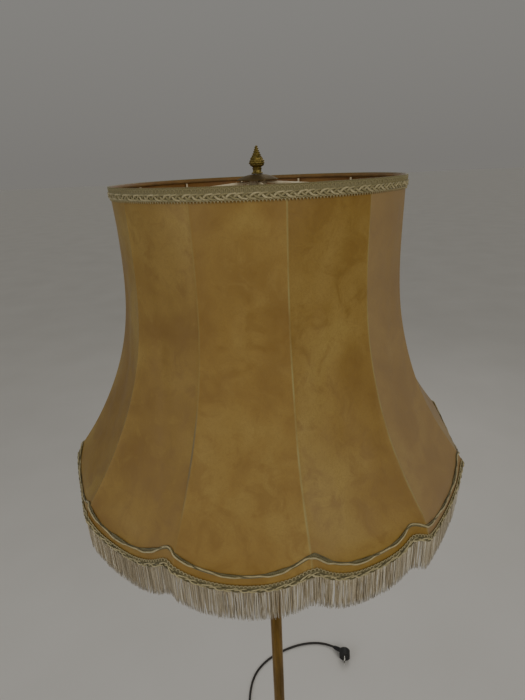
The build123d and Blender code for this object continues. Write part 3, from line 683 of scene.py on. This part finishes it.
def make_panel(number):
    """One closed sheet of skin, whose inner face takes a darker copy of the parchment: painted shade.
    """
    across, off_lap = panel_columns()
    down = np.linspace(0, 1, PANEL_ROWS + 1)
    angle = (number - 0.5 + across / 2) * STEP
    depth = 0.001 + down[:, None] * (hem_depth(angle) - 0.002)
    angles = np.broadcast_to(angle, depth.shape)
    proud = waves(random.Random(number), across, down) + 0.0002 * (1 - off_lap)
    outer = on_shade(angles, depth, proud).reshape(-1, 3)
    inner = on_shade(angles, depth, proud - PARCHMENT).reshape(-1, 3)
    outside, inside = sheet_faces(*depth.shape)
    numbers = panel_numbers(number, across, off_lap, down[:, None], depth.shape)
    doubled = {key: np.concatenate([values.reshape(-1)] * 2) for key, values in numbers.items()}
    finishes = [MATERIALS["parchment"], MATERIALS["shaded_parchment_inside"]]
    panel = make_piece(f"skin_{number:02d}", np.concatenate([outer, inner]), outside + inside,
                       finishes, "shade", doubled)
    panel.data.polygons.foreach_set("material_index", [0] * len(outside) + [1] * len(inside))
    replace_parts(panel, f"panel_{number:02d}")


# Trims --------------------------------------------------------------------------------------


def plait(strands, depth_at, centre, reach, repeats, steps, width, height, proud, tones):
    """Cords over and under each other along a line, each fat in mid-stroke and thin at its turns."""
    angles = even_angles(repeats * steps, depth_at)
    phase = np.arange(len(angles)) / len(angles) * 2 * math.pi * repeats
    depth = depth_at(angles)
    out = outward(angles, depth)
    for strand, tone in enumerate(tones):
        turn = phase + 2 * math.pi * strand / len(tones)
        offset = centre - reach * (np.sin(turn) + 0.12 * np.sin(3 * turn + 0.4))
        line = on_shade(angles, depth - offset, proud + 0.45 * height * np.sin(2 * turn))
        fat = width * (0.72 + 0.34 * np.cos(turn) ** 2)
        strands.add(line, out, fat, height, tone + 0.07 * np.sin(5.3 * phase / (strand + 2)))


def ribbed_band(strands, depth_at, lifts, ribs, base, relief, tone):
    """Woven backing whose warp stands in fine upright ribs; it is a closed strip of small relief,
    painted lighter on its ribs and darker between them as light and shade.
    """
    count = ribs * 4
    angles = even_angles(count, depth_at)
    depth = depth_at(angles)
    wave = relief * (0.5 + 0.5 * np.cos(2 * math.pi * np.arange(count) / 4))
    low, high = lifts
    rows = [(low, 0.0), (low, base), ((low + high) / 2, base), (high, base), (high, 0.0)]
    start = strands.count
    for lift, proud in rows:
        lifted = proud + (wave if proud else 0.0) + 0.0002
        strands.points.append(on_shade(angles, depth - lift, lifted))
        # Painted light and shade: the tone is lighter where the ribs stand proud and darker between
        # them.
        strands.tones.append(tone + 0.2 * (wave / relief - 0.5))
        strands.count += count
    index = start + np.arange(len(rows) * count).reshape(len(rows), count)
    faces = tube_faces(index, np.roll(index, -1, axis=0))
    strands.faces.extend([face[::-1] for face in faces])


def picots(strands, depth_at, lift, size, count, width, proud, tone):
    """A row of tiny loops along one edge of a trim."""
    steps = 10
    angles = even_angles(count * steps, depth_at)
    turn = 2 * math.pi * np.arange(count * steps) / steps
    pitch = 2 * math.pi / count
    depth = depth_at(angles)
    looped = angles + 0.22 * pitch * np.sin(turn)
    line = on_shade(looped, depth - lift - size * 0.5 * np.cos(turn), proud)
    strands.add(line, outward(angles, depth), width, width, tone, sides=5)


def make_top_braid():
    """Ribbed ribbon with a flat plait along its lower half and loops along both edges."""
    strands = Strands()
    half = TRIM_HEIGHT / 2

    def level(angle):
        return np.full_like(angle, half)

    ribbed_band(strands, level, lifts=(-half + 0.0012, half - 0.0001), ribs=620, base=0.0008,
                relief=0.0006, tone=0.42)
    plait(strands, level, centre=-0.0022, reach=0.0029, repeats=52, steps=18, width=0.0024,
          height=0.0013, proud=0.0019, tones=(0.92, 0.55, 0.74))
    picots(strands, level, lift=-half + 0.0009, size=0.0024, count=330, width=0.0010,
           proud=0.0014, tone=0.76)
    picots(strands, level, lift=half - 0.0034, size=0.0030, count=250, width=0.0008,
           proud=0.0015, tone=0.62)
    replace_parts(strands.make("rim_gimp", "gimp_braid"), "top_braid")


def make_hem_cord():
    """A cream cord that wanders along a dark strand, its painted shadow, above the fringe's heading.
    """
    strands = Strands()
    waves_round = 36
    angles = even_angles(waves_round * 26, hem_cord_depth)
    phase = 2 * math.pi * np.arange(len(angles)) / len(angles) * waves_round
    depth = hem_cord_depth(angles)
    out = outward(angles, depth)
    bend = 0.0012 * (np.sin(phase) + 0.2 * np.sin(3 * phase + 0.5))
    bend += 0.0005 * np.sin(phase * 7 / waves_round + 1.0)
    cream = on_shade(angles, depth + bend, 0.0015 + 0.0005 * np.cos(phase))
    # The dark strand is the cream cord's painted shadow.
    shadow_strand = on_shade(angles, depth - 0.0016 - 0.8 * bend, 0.0012 - 0.0005 * np.cos(phase))
    strands.add(cream, out, 0.0020, 0.0017, 0.92 + 0.08 * np.sin(5 * phase))
    strands.add(shadow_strand, out, 0.0013, 0.0011, 0.14 + 0.1 * np.sin(3 * phase))
    ribbed_band(strands, hem_cord_depth, lifts=(-0.0012, 0.0022), ribs=900, base=0.0003,
                relief=0.0004, tone=0.24)
    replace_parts(strands.make("hem_gimp", "gimp_braid"), "hem_cord")


def make_hem_braid():
    """Heading of the fringe: a dark green-brown backing, a plait of two cream cords and a dark strand
    that is painted shade between them, and a row of picots.
    """
    strands = Strands()
    ribbed_band(strands, hem_depth, lifts=(-0.0030, 0.0040), ribs=1100, base=0.0006,
                relief=0.0005, tone=0.3)
    # The plait's second strand is dark: painted shade in the gaps between the cream cords.
    plait(strands, hem_depth, centre=-0.0005, reach=0.0020, repeats=70, steps=16, width=0.0020,
          height=0.0013, proud=0.0018, tones=(0.98, 0.12, 0.86))
    picots(strands, hem_depth, lift=0.0042, size=0.0026, count=430, width=0.0010, proud=0.0013,
           tone=0.84)
    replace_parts(strands.make("fringe_heading", "gimp_braid"), "hem_braid")


def make_fringe():
    """Silk threads in two layers, bunched a little, with uneven tips; the inner layer is painted
    darker as shade.
    """
    strands = Strands()
    rng = np.random.default_rng(11)
    count = 2000
    shares = np.array([0.0, 0.3, 0.55, 0.8, 1.0])
    taper = 0.0011 * np.array([1.0, 0.95, 0.9, 0.85, 0.55])
    for layer in range(2):
        angles = even_angles(count, hem_depth) + layer * math.pi / count
        depth = hem_depth(angles) - 0.0004
        bunch = 0.0006 * np.sin(angles * 151 + layer) + 0.0005 * np.sin(angles * 263 + 2.0)
        tip_sway = (bunch + rng.normal(0, 0.0007, count)) / FLARE_RADIUS
        bow = rng.normal(0, 0.0007, count) / FLARE_RADIUS
        length = FRINGE_LENGTH - 0.0015 + rng.normal(0, 0.0009, count)
        length -= 0.003 * rng.random(count) ** 5
        length = np.minimum(length, FRINGE_LENGTH + 0.0012)
        bright = (np.sin(angles * 236 + 1.5 * np.sin(angles * 17)) > 0.84) * 0.4
        # The inner layer is painted darker: shade behind the outer threads.
        tone = np.clip(0.5 + rng.normal(0, 0.15, count) + bright - 0.16 * layer, 0, 1)
        radius = shade_radius(angles, depth) + 0.0002 - 0.0012 * layer
        radius += rng.normal(0, 0.0003, count)
        turned = angles + SEAM_ANGLE
        hang = lean(depth, turned)
        for k in range(count):
            sway = turned[k] + tip_sway[k] * shares ** 1.6 + bow[k] * np.sin(math.pi * shares)
            heights = RIM_Z - depth[k] - length[k] * shares
            across = radius[k] * np.cos(sway) + hang[k]
            line = np.stack([across, radius[k] * np.sin(sway), heights], axis=-1)
            out = np.stack([np.cos(sway), np.sin(sway), np.zeros(len(shares))], axis=-1)
            strands.add(line, out, taper, taper, tone[k], sides=3, closed=False)
    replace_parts(strands.make("silk_threads", "silk_fringe"), "fringe")


# Finial -------------------------------------------------------------------------------------


# Height above the finial's foot in millimetres, and radius there in metres.
FINIAL_PROFILE = [
    (0.0, 0.0062), (0.3, 0.0074), (0.9, 0.0079), (1.6, 0.0077), (2.3, 0.0062), (3.4, 0.0057),
    (5.4, 0.0057), (6.4, 0.0062), (7.2, 0.0066), (8.0, 0.0054), (8.8, 0.0062), (11.0, 0.0090),
    (13.4, 0.0102), (16.0, 0.0098), (19.0, 0.0082), (22.5, 0.0062), (26.0, 0.0045), (29.5, 0.0031),
    (32.6, 0.0021), (34.6, 0.0016), (35.6, 0.0001),
]
SCALES_FROM = 0.009                   # the overlapping scales begin this far above the foot
TIP_FROM = 0.0215                     # and end here, where the stepped tip begins
SCALE_ROW = 0.0031                    # height of one row of scales
TIP_PITCH = 0.0026                    # rise of the spiral in one turn


def finial_radius(z, turn):
    """Turned profile with rows of staggered scales on the bud and a spiral on the tip."""
    heights = np.array([height for height, _ in FINIAL_PROFILE]) * MM
    radii = np.array([radius for _, radius in FINIAL_PROFILE])
    radius = np.interp(z, heights, radii)
    row = (z - SCALES_FROM) / SCALE_ROW
    stagger = np.where(np.floor(row).astype(int) % 2 == 0, 0.0, math.pi / 9)
    around = np.abs(np.cos(4.5 * (turn + stagger))) ** 0.7
    scale = 0.0011 * around * np.sin(math.pi * np.mod(row, 1.0)) ** 0.8 - 0.0004
    spiral = 0.0005 * np.sin(2 * math.pi * (z / TIP_PITCH + turn / (2 * math.pi)))
    radius = radius + np.where((z > SCALES_FROM) & (z < TIP_FROM), scale, 0.0)
    radius = radius + np.where(z >= TIP_FROM, spiral, 0.0)
    rounding = np.clip((heights[-1] - z) / 0.0008, 0.0, 1.0) ** 0.5
    return np.maximum(radius * rounding, 0.00005)


def make_finial():
    """Cast bud: a collar, a waisted neck, overlapping scales, and a stepped spiral tip."""
    low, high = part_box("finial")[0].z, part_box("finial")[1].z
    tall = FINIAL_PROFILE[-1][0] * MM
    levels = np.linspace(0, tall, 150)
    around = 2 * math.pi * np.arange(96) / 96
    z, turn = np.meshgrid(levels, around, indexing="ij")
    radius = finial_radius(z, turn)
    rising = low + z * (high - low) / tall
    points = np.stack([radius * np.cos(turn), radius * np.sin(turn), rising], axis=-1)
    index = np.arange(z.size).reshape(z.shape)
    faces = tube_faces(index[:-1], index[1:]) + [index[0][::-1].tolist(), index[-1].tolist()]
    piece = make_piece("bud_finial", points.reshape(-1, 3), faces, [MATERIALS["finial_brass"]],
                       "finial", {})
    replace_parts(piece, "finial")


# Studio -------------------------------------------------------------------------------------


def area_light(name, place, target, size, power, tint):
    data = bpy.data.lights.new(name, "AREA")
    data.shape = "DISK"
    data.size = size
    data.energy = power
    data.color = tint
    light = bpy.data.objects.new(name, data)
    light.location = place
    light.rotation_euler = (Vector(target) - Vector(place)).to_track_quat("-Z", "Y").to_euler()
    bpy.context.scene.collection.objects.link(light)


def make_floor():
    mesh = bpy.data.meshes.new("floor")
    corners = [(-1, -1), (1, -1), (1, 1), (-1, 1)]
    points = [(FLOOR_HALF * x, FLOOR_HALF * y, 0) for x, y in corners]
    mesh.from_pydata(points, [], [(0, 1, 2, 3)])
    mesh.materials.append(pale_floor())
    floor = bpy.data.objects.new("floor", mesh)
    floor.location.z = -0.0002
    bpy.context.scene.collection.objects.link(floor)


def make_sky():
    """Plain grey all round, a little darker at the horizon, where it has the floor's tone."""
    world = bpy.data.worlds.new("studio")
    world.use_nodes = True
    tree = world.node_tree
    background = tree.nodes["Background"]
    background.inputs["Strength"].default_value = 0.53
    place = tree.nodes.new("ShaderNodeTexCoord")
    split = tree.nodes.new("ShaderNodeSeparateXYZ")
    ramp = tree.nodes.new("ShaderNodeValToRGB")
    tree.links.new(place.outputs["Generated"], split.inputs[0])
    tree.links.new(split.outputs["Z"], ramp.inputs[0])
    tree.links.new(ramp.outputs[0], background.inputs["Color"])
    ramp.color_ramp.elements[0].color = (0.374, 0.361, 0.336, 1.0)
    ramp.color_ramp.elements[1].color = (0.5, 0.49, 0.46, 1.0)
    ramp.color_ramp.elements[1].position = 0.5
    bpy.context.scene.world = world


def make_lights():
    middle = (0, 0, 1.35)
    area_light("window", (1.2, -2.1, 2.4), middle, size=1.8, power=18.5, tint=(1.0, 0.98, 0.94))
    area_light("room", (-2.2, -1.6, 1.8), middle, size=2.2, power=13.5, tint=(0.96, 0.98, 1.0))
    area_light("back", (0.8, 2.4, 2.8), middle, size=1.8, power=12.0, tint=(1.0, 0.97, 0.92))


finish_the_frame()
make_flex()
for panel_number in range(1, PANELS + 1):
    make_panel(panel_number)
make_top_braid()
make_hem_cord()
make_hem_braid()
make_fringe()
make_finial()
make_floor()
make_sky()
make_lights()
